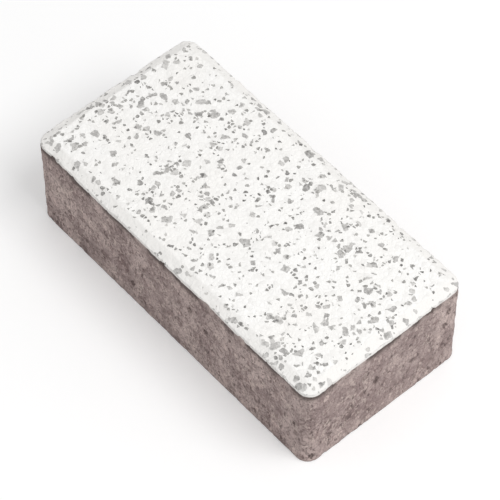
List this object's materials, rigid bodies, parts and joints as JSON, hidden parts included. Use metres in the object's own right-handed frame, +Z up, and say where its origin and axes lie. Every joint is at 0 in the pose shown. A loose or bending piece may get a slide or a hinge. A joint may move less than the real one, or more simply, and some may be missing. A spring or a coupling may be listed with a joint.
{
  "type": "concrete paving stone",
  "caption": "Rectangular concrete paving stone with a white, grey-speckled wearing face, a narrow bevel round it, rounded corners and taupe sides, for paths and yards.",
  "frame": {"origin": "middle of the bed face, on the ground", "axes": "+X along the stone's length, +Y across its width, +Z up to the wearing face"},
  "size_m": [0.198, 0.098, 0.06],
  "materials": {
    "concrete": "rough white facing concrete with grey stone chips, on a taupe backing concrete"
  },
  "bodies": {
    "root": {"paving_stone": "concrete"}
  },
  "joints": []
}
